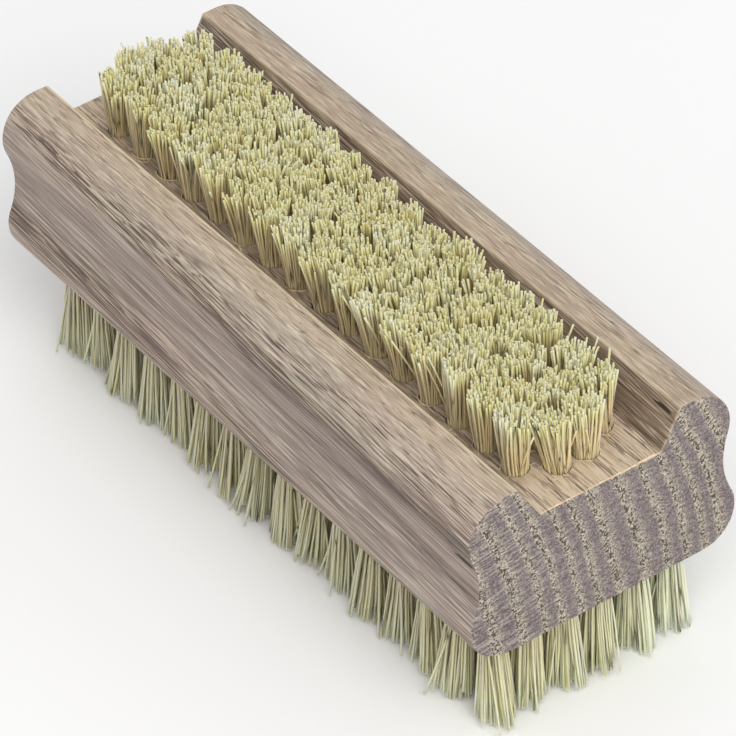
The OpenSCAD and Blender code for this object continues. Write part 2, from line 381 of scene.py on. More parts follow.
def tubes(paths, radii, sides, reference=(0, 1.0, 0)):
    """A closed tube round each path: at every path point a ring of points at radius times the
    cosine and sine of even angles, on two directions square to the path. The first of them is also
    square to the reference direction, which no path follows."""
    count, rings = paths.shape[:2]
    tangent = np.gradient(paths, axis=1)
    tangent /= np.linalg.norm(tangent, axis=2, keepdims=True)
    across = np.cross(np.array(reference), tangent)
    across /= np.linalg.norm(across, axis=2, keepdims=True)
    aside = np.cross(tangent, across)
    angle = np.arange(sides) / sides * 2 * np.pi
    ring = np.cos(angle)[:, None] * across[..., None, :]
    ring = ring + np.sin(angle)[:, None] * aside[..., None, :]
    points = paths[..., None, :] + radii[..., None, None] * ring
    quads, bottom, top = grid_faces(rings, sides)
    first = (np.arange(count) * rings * sides)[:, None, None]
    faces = (first + quads).reshape(-1, 4).tolist()
    for end in (bottom, top):
        faces += (first + end).reshape(-1, sides).tolist()
    return points.reshape(-1, 3), faces


def row_centres(start, count, pitch, y):
    x = start - np.arange(count) * pitch
    return np.stack([x, np.full_like(x, y)], 1)


def top_centres(row):
    """Places of a top row's tufts. An inner row has one more, and stands half a pitch ahead."""
    inner = 0 < row < TOP_ROWS - 1
    start = BLOCK_HIGH[0] - TOP_FRONT_MARGIN - (0 if inner else TOP_PITCH / 2)
    y = (row - (TOP_ROWS - 1) / 2) * TOP_ROW_SPACING
    return row_centres(start, TOP_TUFTS + inner, TOP_PITCH, y)


def bottom_centres(row):
    """Places of a bottom row's tufts."""
    y = (row - (BOTTOM_ROWS - 1) / 2) * BOTTOM_ROW_SPACING
    return row_centres(BLOCK_HIGH[0] - BOTTOM_FRONT_MARGIN, BOTTOM_TUFTS, BOTTOM_PITCH, y)


def hole_cutters():
    """A closed upright tube for each drilled hole, from beyond the surface to the hole's bottom."""
    top = np.vstack([top_centres(row) for row in range(TOP_ROWS)])
    bottom = np.vstack([bottom_centres(row) for row in range(BOTTOM_ROWS)])
    paths = []
    for centres, low, high in (
        (top, CHANNEL_FLOOR_Z - HOLE_DEPTH, CHANNEL_FLOOR_Z + HOLE_OVERRUN),
        (bottom, UNDERSIDE_Z - HOLE_OVERRUN, UNDERSIDE_Z + HOLE_DEPTH),
    ):
        ends = [np.column_stack([centres, np.full(len(centres), z)]) for z in (low, high)]
        paths.append(np.stack(ends, 1))
    paths = np.vstack(paths)
    return tubes(paths, np.full(paths.shape[:2], HOLE_RADIUS), HOLE_SIDES)


def make_block(long_grain, end_grain):
    """The block's surface with closed ends, less the drilled holes."""
    surface = block_surface()
    quads, back, front = grid_faces(*surface.shape[:2])
    faces = quads.tolist() + [back.tolist(), front.tolist()]
    block = new_piece("wooden_block", surface.reshape(-1, 3), faces, [long_grain, end_grain])
    cutters = new_piece("hole_cutters", *hole_cutters(), [long_grain, end_grain])
    drill = block.modifiers.new("drilled holes", "BOOLEAN")
    drill.operation, drill.solver, drill.object = "DIFFERENCE", "MANIFOLD", cutters
    graph = bpy.context.evaluated_depsgraph_get()
    drilled = bpy.data.meshes.new_from_object(block.evaluated_get(graph))
    block.modifiers.clear()
    block.data = drilled
    bpy.data.objects.remove(cutters)
    polygons = drilled.polygons
    count = len(polygons)
    normals, centres = np.empty(count * 3, np.float32), np.empty(count * 3, np.float32)
    polygons.foreach_get("normal", normals)
    polygons.foreach_get("center", centres)
    at_end = np.abs(centres[0::3]) > BLOCK_LENGTH / 2 - 2 * ARRIS_ROUNDING
    sawn = at_end & (np.abs(normals[0::3]) > 0.5)
    polygons.foreach_set("material_index", sawn.astype(np.int32))
    polygons.foreach_set("use_smooth", np.ones(count, bool))
    drilled.set_sharp_from_angle(angle=math.radians(SMOOTH_ANGLE))
    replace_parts(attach(block, "root"), "block")


def make_torn_fibres(material):
    """Fibres that the drill and the saw tore out: crescents that follow a stretch of a hole's rim
    and widen from it, slivers that lie beside the holes and curl up by a share of a circle, and a
    ragged cord along the front edge of the channel floor, with a small heap near its right end."""
    rng = np.random.default_rng(TORN_FIBRE_SEED)
    holes = np.concatenate([top_centres(row) for row in range(TOP_ROWS)])
    points, faces = [], []

    def add(paths, thickness, sides, reference):
        more_points, more_faces = tubes(paths, thickness, sides, reference)
        faces.extend([[corner + sum(map(len, points)) for corner in face] for face in more_faces])
        points.append(more_points)

    share = np.linspace(0, 1, TORN_FIBRE_STATIONS)
    angle = rng.uniform(0, 2 * np.pi, (RIM_BURRS, 1))
    angle = angle + share * rng.uniform(*RIM_BURR_TURN, (RIM_BURRS, 1))
    away = HOLE_RADIUS + rng.uniform(0, RIM_BURR_GAP, (RIM_BURRS, 1))
    away = away + rng.uniform(0, RIM_BURR_FLARE, (RIM_BURRS, 1)) * (2 * share - 1) ** 2
    away = away + rng.normal(0, RIM_BURR_ROUGHNESS, angle.shape)
    paths = np.empty((RIM_BURRS, len(share), 3))
    paths[..., 0], paths[..., 1] = away * np.cos(angle), away * np.sin(angle)
    paths[..., :2] += holes[rng.integers(0, len(holes), RIM_BURRS), None]
    paths[..., 2] = CHANNEL_FLOOR_Z + rng.uniform(0, RIM_BURR_RISE, angle.shape)
    swell = np.sqrt(np.sin(np.pi * (0.04 + 0.92 * share)))
    thickness = swell * rng.uniform(*RIM_BURR_THICKNESS, (RIM_BURRS, 1))
    thickness = thickness * rng.uniform(0.6, 1.2, angle.shape)
    add(paths, thickness, TORN_FIBRE_SIDES, (0, 0, 1.0))

    chosen = holes[rng.integers(0, len(holes), SMALL_SLIVERS)]
    bearing = rng.uniform(-180, 180, SMALL_SLIVERS)
    turned = np.radians(bearing)[:, None]
    place = chosen + (HOLE_RADIUS + SLIVER_GAP) * np.hstack([np.cos(turned), np.sin(turned)])
    small = np.column_stack([place, bearing, rng.uniform(*SMALL_SLIVER_LENGTH, SMALL_SLIVERS)])
    slivers = np.vstack([LARGE_SLIVERS, small])
    count = len(slivers)
    heading = np.radians(slivers[:, 2:3]) + rng.normal(0, SLIVER_SWERVE, (count, 1)) * share
    reach = slivers[:, 3:4]
    turn = share * rng.uniform(*SLIVER_CURL, (count, 1))
    paths = np.empty((count, len(share), 3))
    paths[..., 0] = slivers[:, :1] + reach * np.sin(turn) * np.cos(heading)
    paths[..., 1] = slivers[:, 1:2] + reach * np.sin(turn) * np.sin(heading)
    paths[..., 2] = CHANNEL_FLOOR_Z + 0.6 * reach * (1 - np.cos(turn))
    thickness = reach * rng.uniform(*SLIVER_THICKNESS, (count, 1)) * (1 - 0.75 * share)
    add(paths, thickness, TORN_FIBRE_SIDES, (0.15, 0.1, 0.95))

    half = CHANNEL_FLOOR_WIDTH / 2
    y = np.linspace(-half, half, BURR_POINTS)
    heap = sum(
        tall * np.exp(-((y - middle * half) / wide) ** 2) for middle, wide, tall in BURR_HEAPS
    )
    coarse = np.abs(smooth_noise(rng, BURR_POINTS, 1, 6, 0)[:, 0])
    fine = np.abs(smooth_noise(rng, BURR_POINTS, 1, 1.1, 0)[:, 0])
    size = BURR_THICKNESS[0] + 0.00003 * fine + 0.00003 * coarse + 0.00009 * heap * (0.4 + fine)
    size = np.clip(size, *BURR_THICKNESS)
    burr = np.empty((1, BURR_POINTS, 3))
    burr[0, :, 0] = BLOCK_HIGH[0] - BURR_INSET
    burr[0, :, 1] = y
    burr[0, :, 2] = CHANNEL_FLOOR_Z - 0.00002 + 0.0001 * heap
    add(burr, size[None], BURR_SIDES, (0, 0, 1.0))
    piece = new_piece("torn_fibres", np.vstack(points), faces, [material])
    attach(piece, "root")


def sunflower(count):
    """Points spread evenly over a disc of radius one: the radius is the root of an even share, and
    each point turns by the golden angle from the last."""
    index = np.arange(count)
    radius = np.sqrt((index + 0.5) / count)
    angle = index * math.radians(GOLDEN_ANGLE)
    return np.stack([radius * np.cos(angle), radius * np.sin(angle)], 1)


def top_lengths(centres):
    """Length of each top tuft: the full one in the middle, less the wear times a power of the share
    of the way to the last tufts."""
    share = np.abs(centres[:, 0]) / (TOP_WEAR_REACH * BLOCK_HIGH[0])
    return TOP_BRISTLE_LENGTH - TOP_END_WEAR * share ** TOP_WEAR_POWER


def make_bristles(kind, row, centres, lengths, set_over, material):
    """A row of tufts. Each fibre starts beside its anchor near the hole's bottom, comes straight up
    through the hole and spreads to its place in a wider oval, drawn towards the middle of its
    clump, with a slight bow. Its length is random, a few fibres stray sideways, and each tuft leans
    a little. The tips stay within the block's length and width."""
    rng = np.random.default_rng(kind["seed"] + row)
    tufts = len(centres)
    shape = (tufts, kind["fibres"])
    turn = rng.uniform(0, 2 * np.pi, tufts)
    spin = np.stack([np.cos(turn), np.sin(turn), -np.sin(turn), np.cos(turn)], 1).reshape(-1, 2, 2)
    disc = sunflower(kind["fibres"]) @ spin + rng.normal(0, ROOT_JITTER, (*shape, 2))
    disc /= np.maximum(np.linalg.norm(disc, axis=2, keepdims=True), 1)
    in_hole = disc * (HOLE_FILL * HOLE_RADIUS - kind["radius"])
    clumps = sunflower(CLUMPS) @ spin + rng.normal(0, CLUMP_JITTER, (tufts, CLUMPS, 2))
    nearest = np.linalg.norm(disc[:, :, None] - clumps[:, None], axis=3).argmin(2)
    clump_shift = rng.normal(0, CLUMP_SHIFT, (tufts, CLUMPS, 2))
    own_clump = np.take_along_axis(clumps, nearest[..., None], 1)
    own_shift = np.take_along_axis(clump_shift, nearest[..., None], 1)
    at_tip = disc + CLUMP_PULL * (own_clump - disc) + own_shift
    at_tip = at_tip + rng.normal(0, TIP_JITTER, (*shape, 2))
    stray = rng.random(shape) < STRAY_SHARE
    aside = np.clip(rng.normal(0, STRAY_JITTER, (*shape, 2)), -STRAY_LIMIT, STRAY_LIMIT)
    at_tip += stray[..., None] * aside
    at_tip = at_tip * kind["tip_spread"] + set_over[:, None]
    at_tip = at_tip + rng.normal(0, kind["lean"], (tufts, 1, 2))
    reach = BLOCK_HIGH[:2] - TIP_INSET
    at_tip = np.clip(at_tip, -reach - centres[:, None], reach - centres[:, None])
    clump_drop = rng.uniform(0, CLUMP_DROP, (tufts, CLUMPS))
    drop = np.take_along_axis(clump_drop, nearest, 1) + np.abs(rng.normal(0, FIBRE_DROP, shape))
    tuft_drop = rng.uniform(0, TUFT_DROP, (tufts, 1))
    drop += tuft_drop + (rng.random(shape) < SHORT_SHARE) * rng.uniform(0, SHORT_DROP, shape)
    height = lengths[:, None] - kind["raggedness"] * drop
    beside = np.where(in_hole[..., 1:] < 0, -1, 1) * [0, ANCHOR_HALF_GAP]
    at_root = in_hole * [1, ROOT_SQUEEZE] + beside
    bow = rng.normal(0, FIBRE_BOW, (*shape, 2))

    share = np.array(FIBRE_STATIONS)
    stations = len(HOLE_STATIONS) + len(share)
    bend = (share ** SPREAD_POWER)[:, None]
    paths = np.empty((*shape, stations, 3))
    paths[..., 0, :2] = at_root
    paths[..., 1, :2] = in_hole
    paths[..., 2:, :2] = in_hole[..., None, :] + bend * (at_tip - in_hole)[..., None, :]
    paths[..., 2:, :2] += np.sin(np.pi * share)[:, None] * bow[..., None, :]
    paths[..., :2] += centres[:, None, None]
    paths[..., 0, 2] = -HOLE_DEPTH + ROOT_CLEARANCE
    paths[..., 1, 2] = -HOLE_DEPTH / 2
    paths[..., 2:, 2] = height[..., None] * share
    paths[..., 2] = kind["face_z"] + kind["up"] * paths[..., 2]
    paths = paths.reshape(-1, stations, 3)
    radii = kind["radius"] * rng.uniform(*FIBRE_THICKNESS, (len(paths), 1)) * np.ones(stations)
    points, faces = tubes(paths, radii, FIBRE_SIDES)
    piece = new_piece(f"{kind['side']}_bristles_row_{row + 1}", points, faces, [material])

    along = np.concatenate([HOLE_STATIONS, share])
    along = np.broadcast_to(along[None, :, None], (len(paths), stations, FIBRE_SIDES))
    tone = rng.normal(0, FIBRE_TONE, shape) + rng.normal(0, TUFT_TONE, (tufts, 1))
    tone += np.take_along_axis(rng.normal(0, CLUMP_TONE, (tufts, CLUMPS)), nearest, 1)
    tone = np.clip(kind["tone"] + tone, 0, PALEST_TONE)
    tone[rng.random(shape) < BROWN_SHARE] = BROWN_TONE
    tone = np.broadcast_to(tone.reshape(-1, 1, 1), along.shape)
    for attribute, values in (("along", along), ("tone", tone)):
        layer = piece.data.attributes.new(attribute, "FLOAT", "POINT")
        layer.data.foreach_set("value", np.ascontiguousarray(values, np.float32).ravel())
    polygons = piece.data.polygons
    smooth = np.arange(len(polygons)) < len(polygons) - 2 * len(paths)
    polygons.foreach_set("use_smooth", smooth)
    node = f"{kind['side']}_tufts_row_{row + 1}"
    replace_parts(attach(piece, "root"), node)


# Materials

def shade(red, green, blue):
    """A colour given in the usual 0 to 255 steps, as the linear one that a shader takes."""
    steps = np.array([red, green, blue]) / 255
    linear = np.where(steps < 0.04045, steps / 12.92, ((steps + 0.055) / 1.055) ** 2.4)
    return (*linear.tolist(), 1.0)


def put(tree, kind, inputs=(), **settings):
    """Adds a node, sets its properties, and links or sets its inputs by name or place."""
    node = tree.nodes.new("ShaderNode" + kind)
    for name, value in settings.items():
        setattr(node, name, value)
    for name, value in dict(inputs).items():
        if isinstance(value, bpy.types.NodeSocket):
            tree.links.new(value, node.inputs[name])
        else:
            node.inputs[name].default_value = value
    return node


def maths(tree, operation, a, b=0.0, clamp=False):
    return put(tree, "Math", {0: a, 1: b}, operation=operation, use_clamp=clamp).outputs[0]


def plus(tree, a, b, clamp=False):
    return maths(tree, "ADD", a, b, clamp)


def minus(tree, a, b, clamp=False):
    return maths(tree, "SUBTRACT", a, b, clamp)


def times(tree, a, b, clamp=False):
    return maths(tree, "MULTIPLY", a, b, clamp)


def vector_maths(tree, operation, a, b):
    return put(tree, "VectorMath", {0: a, 1: b}, operation=operation).outputs[0]


def between(tree, value, low, high, first=0.0, last=1.0):
    """The first result where the value is low and the last where it is high, held beyond them."""
    inputs = {"Value": value, "From Min": low, "From Max": high, "To Min": first, "To Max": last}
    return put(tree, "MapRange", inputs).outputs[0]


def blend(tree, share, first, second):
    """The first colour turning to the second as the share goes from 0 to 1."""
    return put(tree, "Mix", {0: share, 6: first, 7: second}, data_type="RGBA").outputs[2]


def tint(tree, colour, layers):
    """Lays each of the colours over the one before, by its share."""
    for share, over in layers:
        colour = blend(tree, share, colour, shade(*over))
    return colour


def steps(tree, value, stops):
    """A colour ramp: stops are (place, colour or grey)."""
    node = put(tree, "ValToRGB", {0: value})
    ramp = node.color_ramp
    while len(ramp.elements) < len(stops):
        ramp.elements.new(0.5)
    for element, (place, colour) in zip(ramp.elements, stops):
        element.position = place
        element.color = colour if isinstance(colour, tuple) else (colour, colour, colour, 1)
    return node.outputs[0]


def noise(tree, vector, scale, detail=2.0, roughness=0.5):
    inputs = {"Vector": vector, "Scale": scale, "Detail": detail, "Roughness": roughness}
    return put(tree, "TexNoise", inputs).outputs[0]


def streaks(tree, place, scale, detail=2.0, roughness=0.5):
    """Noise with a scale of its own on each axis, so that it stretches along the smallest."""
    return noise(tree, vector_maths(tree, "MULTIPLY", place, scale), 1.0, detail, roughness)


def new_group(name, inputs, outputs):
    """An empty shader node group with its sockets, and its input and output nodes."""
    tree = bpy.data.node_groups.new(name, "ShaderNodeTree")
    kinds = {"vector": "NodeSocketVector", "value": "NodeSocketFloat"}
    for way, sockets in (("INPUT", inputs), ("OUTPUT", outputs)):
        for label, kind in sockets.items():
            tree.interface.new_socket(label, in_out=way, socket_type=kinds[kind])
    return tree, tree.nodes.new("NodeGroupInput"), tree.nodes.new("NodeGroupOutput")


def millimetres(tree):
    """Object coordinates in millimetres."""
    place = put(tree, "TexCoord").outputs["Object"]
    return put(tree, "VectorMath", {0: place, "Scale": 1000.0}, operation="SCALE").outputs[0]


def piecewise(tree, value, points):
    """The value carried over a table of (value, result), with straight lines between them."""
    low, high = points[0][0], points[-1][0]
    share = between(tree, value, low, high)
    return steps(tree, share, [((at - low) / (high - low), result) for at, result in points])


def wood_figure_group():
    """Figure of a ring-porous wood whose grain runs along X and falls a little towards the front
    end. A ring's level is its way across the section plus slant and curve times its height above
    the rings' foot and that height squared, and shifted by a slow warp. The table of ring starts
    turns it into a count of years. Early is 1 at the open-grained start of a year. On the sides, by
    the side share, it follows the side bands instead, and Seams is the greatest of the side seams,
    each its table's value at the height times its share along X. Vessels and Fibre are coarse and
    fine streaks. Lines are the contours of a smooth noise stretched along the grain, broken into
    lengths. Drift is a broad change of colour along the grain."""
    tree, given, result = new_group(
        "wood figure",
        {"Place": "vector", "Side Share": "value"},
        dict.fromkeys(FIGURE_PARTS, "value"),
    )
    place = given.outputs["Place"]
    x, y, z = put(tree, "SeparateXYZ", {0: place}).outputs
    warp = minus(tree, streaks(tree, place, (0.022, 0.12, 0.12), 3.0, 0.55), 0.5)
    height = minus(tree, z, RING_FOOT)
    bend = plus(tree, RING_SLANT, times(tree, height, RING_CURVE))
    level = plus(tree, y, times(tree, height, bend))
    level = plus(tree, level, times(tree, warp, 1.2))
    years = len(RING_STARTS) - 1
    ring_table = [(start, year / years) for year, start in enumerate(RING_STARTS)]
    count = piecewise(tree, level, ring_table)
    year = maths(tree, "FRACT", times(tree, count, float(years)))
    early = steps(tree, year, [
        (0.0, 1.0), (0.2, 0.95), (0.42, 0.35), (0.58, 0.0), (0.84, 0.0), (0.94, 0.4), (1.0, 1.0),
    ])
    raised = plus(tree, z, times(tree, x, GRAIN_FALL))
    leaning = put(tree, "CombineXYZ", {0: x, 1: y, 2: raised}).outputs[0]
    band_height = plus(tree, raised, times(tree, warp, 2.5))
    side = piecewise(tree, band_height, SIDE_BANDS)
    early = put(tree, "Mix", {0: given.outputs["Side Share"], 2: early, 3: side}).outputs[0]
    seams = 0.0
    for table, stretch, shares in SIDE_SEAMS:
        seam = piecewise(tree, band_height, table)
        seam = times(tree, seam, between(tree, x, *stretch, *shares))
        seams = maths(tree, "MAXIMUM", seams, seam)
    seams = times(tree, seams, given.outputs["Side Share"])
    fibre = streaks(tree, leaning, (0.075, 5.0, 5.0), 2.0, 0.6)
    contour = streaks(tree, leaning, (0.026, 0.8, 0.8), 1.5)
    contour = maths(tree, "FRACT", times(tree, contour, 7.0))
    crest = times(tree, maths(tree, "ABSOLUTE", minus(tree, contour, 0.5)), 2.0)
    crest = steps(tree, crest, [(0.85, 0.0), (0.97, 1.0)])
    breaks = streaks(tree, leaning, (0.1, 1.7, 1.7), 1.0)
    lines = times(tree, crest, steps(tree, breaks, [(0.42, 0.0), (0.55, 1.0)]))
    vessels = streaks(tree, leaning, (0.085, 5.4, 5.4), 1.0)
    drift = streaks(tree, place, (0.03, 0.35, 0.35), 3.0)
    for label, value in zip(FIGURE_PARTS, (early, seams, vessels, fibre, lines, drift)):
        tree.links.new(value, result.inputs[label])
    return tree


def mottle_group():
    """Soft uneven patches: noise in three sizes, about 0 to 1."""
    tree, given, result = new_group(
        "mottle", {"Place": "vector", "Size": "value"}, {"Patches": "value"},
    )
    scale = maths(tree, "DIVIDE", 1.0, given.outputs["Size"])
    patches = noise(tree, given.outputs["Place"], scale, 3.0, 0.6)
    patches = times(tree, minus(tree, patches, 0.28), 2.2, clamp=True)
    tree.links.new(patches, result.inputs["Patches"])
    return tree


def new_material(name, roughness):
    material = bpy.data.materials.new(name)
    material.use_nodes = True
    surface = material.node_tree.nodes["Principled BSDF"]
    surface.inputs["Roughness"].default_value = roughness
    return material, material.node_tree, surface


def mottled(tree, mottle, place, size):
    """Soft patches of about the given size in millimetres."""
    return put(tree, "Group", {"Place": place, "Size": size}, node_tree=mottle).outputs[0]


def finish_surface(tree, surface, colour, patches, roughness, height, strength, distance):
    """Gives the shader its colour, a roughness that goes from the first to the second value with
    the patches, and a bump of the height."""
    bump = put(tree, "Bump", {"Strength": strength, "Distance": distance, "Height": height})
    rough = between(tree, patches, 0.0, 1.0, *roughness)
    for label, value in (("Base Color", colour), ("Roughness", rough), ("Normal", bump.outputs[0])):
        tree.links.new(value, surface.inputs[label])


def long_grain_material(figure, mottle):
    """Planed wood along the grain: fine dark and pale streaks, long dark lines and dashes of open
    vessels, most in the porous bands and the seams, smoother mauve-grey wood between them, and rosy
    and greyish patches. The sides carry painted shade, darkest low on the upper bulge. The rail
    tops are tan, and the right one is browner beside the channel. The channel floor is palest, with
    a painted shadow along its left wall, the slanted walls carry painted shade, the channel's upper
    edges are worn pale with a painted highlight, and two small splits open near the front end."""
    material, tree, surface = new_material("planed wood", 0.62)
    place = millimetres(tree)
    x, y, z = put(tree, "SeparateXYZ", {0: place}).outputs
    normal = put(tree, "NewGeometry").outputs["Normal"]
    facing_y, facing_z = put(tree, "SeparateXYZ", {0: normal}).outputs[1:]
    sideways = steps(tree, maths(tree, "ABSOLUTE", facing_y), [(0.3, 0.0), (0.75, 1.0)])
    grain = put(tree, "Group", {"Place": place, "Side Share": sideways}, node_tree=figure)
    early, seams, vessels, fibre, lines, drift = (grain.outputs[name] for name in FIGURE_PARTS)
    rosy = steps(tree, drift, [(0.46, 0.0), (0.62, 0.5)])
    greyish = times(tree, steps(tree, drift, [(0.36, 0.7), (0.48, 0.0)]), early)
    # Painted shade by height on the sides, darkest low on the upper bulge.
    painted_shade = piecewise(tree, z, [(13.0, 0.2), (21.0, 0.22), (25.0, 0.4), (30.0, 0.4), (33.0, 0.0)])

    # Faces that look up: rails, channel floor and slanted walls.
    upward = steps(tree, facing_z, [(0.7, 0.0), (0.95, 0.5)])
    low = maths(tree, "LESS_THAN", z, 1000 * float(CHANNEL_FLOOR_Z) + 1)
    high = minus(tree, 1.0, low)
    rail = times(tree, upward, high)
    crest = times(tree, steps(tree, facing_z, [(0.93, 0.0), (0.995, 0.25)]), high)
    strip = steps(tree, between(tree, y, 10.9, 14.0), [
        (0.0, 0.0), (0.1, 0.5), (0.65, 0.5), (0.95, 0.0),
    ])
    floor = times(tree, upward, low)
    # Painted shadow of the tufts on the channel floor along its left wall.
    foot = between(tree, y, -4.5, -7.5)
    foot = times(tree, foot, between(tree, maths(tree, "ABSOLUTE", x), 43.0, 41.0))
    foot = times(tree, foot, floor)
    # Painted shade on the slanted walls that face into the channel.
    inward = times(tree, maths(tree, "SIGN", y), times(tree, facing_y, -1.0))
    painted_wall_shade = steps(tree, inward, [(0.3, 0.0), (0.7, 0.75)])
    painted_wall_shade = times(tree, painted_wall_shade, maths(tree, "GREATER_THAN", facing_z, 0.2))

    # Streaks and open vessels, fainter on the rails and the floor.
    open_grain = plus(tree, 0.7, times(tree, early, 0.3))
    seamed = minus(tree, fibre, times(tree, seams, 0.09))
    calm = minus(tree, 1.0, plus(tree, rail, times(tree, floor, 0.4)))
    dark = steps(tree, seamed, [(0.37, 0.85), (0.48, 0.0)])
    dark = times(tree, dark, maths(tree, "MAXIMUM", open_grain, seams))
    dark = times(tree, dark, calm)
    pale = times(tree, steps(tree, fibre, [(0.52, 0.0), (0.64, 0.75)]), open_grain)
    pale = times(tree, pale, minus(tree, 1.0, seams))
    strength = plus(tree, 0.4, times(tree, early, 0.4))
    eased = maths(tree, "MAXIMUM", times(tree, early, 0.19), times(tree, seams, 0.24))
    edge = minus(tree, 0.70, eased)
    pores = times(tree, minus(tree, vessels, edge), 18.0, clamp=True)
    pores = times(tree, pores, calm)

    # Worn edges with a painted highlight, and splits.
    edges = {"Place": place, "Width": WORN_HIGHLIT_EDGE_WIDTH}
    worn_highlit = put(tree, "Group", edges, node_tree=worn_highlit_edge_group()).outputs[0]
    split = 0.0
    for middle, reach in SPLITS:
        away = vector_maths(tree, "DIVIDE", vector_maths(tree, "SUBTRACT", place, middle), reach)
        away = put(tree, "VectorMath", {0: away}, operation="LENGTH").outputs["Value"]
        ragged = plus(tree, times(tree, away, 0.5), times(tree, fibre, 0.7))
        split = maths(tree, "MAXIMUM", split, steps(tree, ragged, [(0.75, 0.95), (0.8, 0.0)]))

    colour = blend(tree, early, shade(158, 143, 134), shade(178, 161, 141))
    colour = tint(tree, colour, [
        (rosy, (178, 154, 141)), (greyish, (166, 161, 140)), (painted_shade, (128, 112, 103)),
        (upward, (196, 180, 156)), (crest, (208, 180, 148)),
        (times(tree, strip, rail), (150, 128, 102)), (floor, (236, 214, 184)), (foot, (96, 76, 56)),
        (painted_wall_shade, (126, 106, 84)), (dark, (104, 88, 78)), (pale, (220, 206, 186)),
        (times(tree, lines, strength), (96, 80, 70)), (times(tree, pores, 0.85), (82, 66, 56)),
        (worn_highlit, (226, 206, 176)), (split, (44, 32, 26)),
    ])
    patches = mottled(tree, mottle, place, 3.0)
    height = times(tree, fibre, 0.7)
    for dent, depth in ((pores, 0.5), (lines, 0.3), (split, 1.5)):
        height = minus(tree, height, times(tree, dent, depth))
    finish_surface(tree, surface, colour, patches, (0.55, 0.77), height, 0.6, 0.00012)
    return material


def worn_highlit_edge_group():
    """Worn pale edges with a painted highlight: 1 on the channel's upper edges, fainter on the
    right rail, and less where the channel's floor and walls meet the ends. It is 1 less the
    distance over the width, where the distance is that to the mouth's corners or to the ends, and
    it is broken up along the grain."""
    tree, given, result = new_group(
        "worn highlit edge", {"Place": "vector", "Width": "value"}, {"Worn Highlit": "value"},
    )
    place, width = given.outputs["Place"], given.outputs["Width"]
    x, y, z = put(tree, "SeparateXYZ", {0: place}).outputs
    across = maths(tree, "ABSOLUTE", y)
    aside = minus(tree, across, 500 * CHANNEL_MOUTH_WIDTH)
    above = minus(tree, z, 1000 * float(BLOCK_HIGH[2]))
    corner = plus(tree, times(tree, aside, aside), times(tree, above, above))
    corner = maths(tree, "SQRT", corner)
    ragged = streaks(tree, place, (0.6, 1.5, 1.5), 3.0)
    at_mouth = minus(tree, 1.0, maths(tree, "DIVIDE", corner, width), clamp=True)
    at_mouth = times(tree, at_mouth, times(tree, ragged, 3.4), clamp=True)
    right_rail = maths(tree, "GREATER_THAN", y, 0.0)
    at_mouth = times(tree, at_mouth, minus(tree, 1.0, times(tree, right_rail, 0.6)))
    end = minus(tree, 1000 * float(BLOCK_HIGH[0]), maths(tree, "ABSOLUTE", x))
    at_end = minus(tree, 1.0, maths(tree, "DIVIDE", end, width), clamp=True)
    at_end = times(tree, at_end, steps(tree, ragged, [(0.4, 0.0), (0.54, 0.75)]))
    high = maths(tree, "GREATER_THAN", z, 1000 * float(CHANNEL_FLOOR_Z) - 0.6)
    within = maths(tree, "LESS_THAN", across, 500 * CHANNEL_MOUTH_WIDTH + 1)
    at_end = times(tree, at_end, times(tree, high, within))
    tree.links.new(maths(tree, "MAXIMUM", at_mouth, at_end), result.inputs["Worn Highlit"])
    return tree


def end_grain_material(figure, mottle):
    """Sawn ends: dense mauve-grey wood and paler ring bands with open pits and torn fibres,
    greenish and broad darker patches, and saw lines nearly level, which show most on the left."""
    material, tree, surface = new_material("sawn end grain", 0.85)
    place = millimetres(tree)
    grain = put(tree, "Group", {"Place": place, "Side Share": 0.0}, node_tree=figure)
    early = grain.outputs["Early"]
    slant = (math.radians(SAW_SLANT), 0, 0)
    turned = put(tree, "Mapping", {"Vector": place, "Rotation": slant}).outputs[0]
    saw = streaks(tree, turned, (0.2, 0.3, 4.6), 1.0)
    grit = streaks(tree, turned, (1.0, 3.8, 5.2), 1.5, 0.6)
    torn = streaks(tree, turned, (1.0, 4.8, 6.0), 0.0)
    pits = streaks(tree, place, (1.0, 4.2, 4.2), 0.0)
    colour = blend(tree, early, shade(112, 97, 106), shade(176, 166, 147))
    patches = mottled(tree, mottle, place, 3.0)
    broad = mottled(tree, mottle, place, 4.5)
    dark = steps(tree, grit, [(0.34, 0.85), (0.48, 0.0)])
    dense = minus(tree, 1.0, times(tree, early, 0.6))
    pale = steps(tree, grit, [(0.52, 0.0), (0.66, 0.95)])
    porous = plus(tree, 0.4, times(tree, early, 0.6))
    left = between(tree, put(tree, "SeparateXYZ", {0: place}).outputs[1], -14.0, -2.0, 0.8, 0.2)
    grooves = times(tree, steps(tree, saw, [(0.36, 1.0), (0.47, 0.0)]), left)
    ridges = times(tree, steps(tree, saw, [(0.54, 0.0), (0.64, 0.8)]), left)
    rough_share = plus(tree, 0.2, times(tree, early, 0.8))
    tufty = times(tree, steps(tree, torn, [(0.56, 0.0), (0.66, 0.9)]), rough_share)
    seam = steps(tree, early, [(0.9, 0.0), (1.0, 0.08)])
    hollow = steps(tree, minus(tree, pits, seam), [(0.34, 0.9), (0.42, 0.0)])
    hollow = times(tree, hollow, rough_share)
    colour = tint(tree, colour, [
        (times(tree, patches, 0.4), (144, 143, 126)), (times(tree, broad, 0.35), (104, 91, 97)),
        (times(tree, dark, dense), (88, 76, 76)), (times(tree, pale, porous), (202, 191, 175)),
        (grooves, (98, 85, 88)), (ridges, (180, 168, 160)), (tufty, (216, 203, 184)),
        (hollow, (62, 50, 44)),
    ])
    height = plus(tree, grit, times(tree, saw, 0.5))
    height = plus(tree, height, times(tree, tufty, 0.4))
    height = minus(tree, height, times(tree, hollow, 0.5))
    finish_surface(tree, surface, colour, patches, (0.75, 0.95), height, 0.8, 0.00018)
    return material


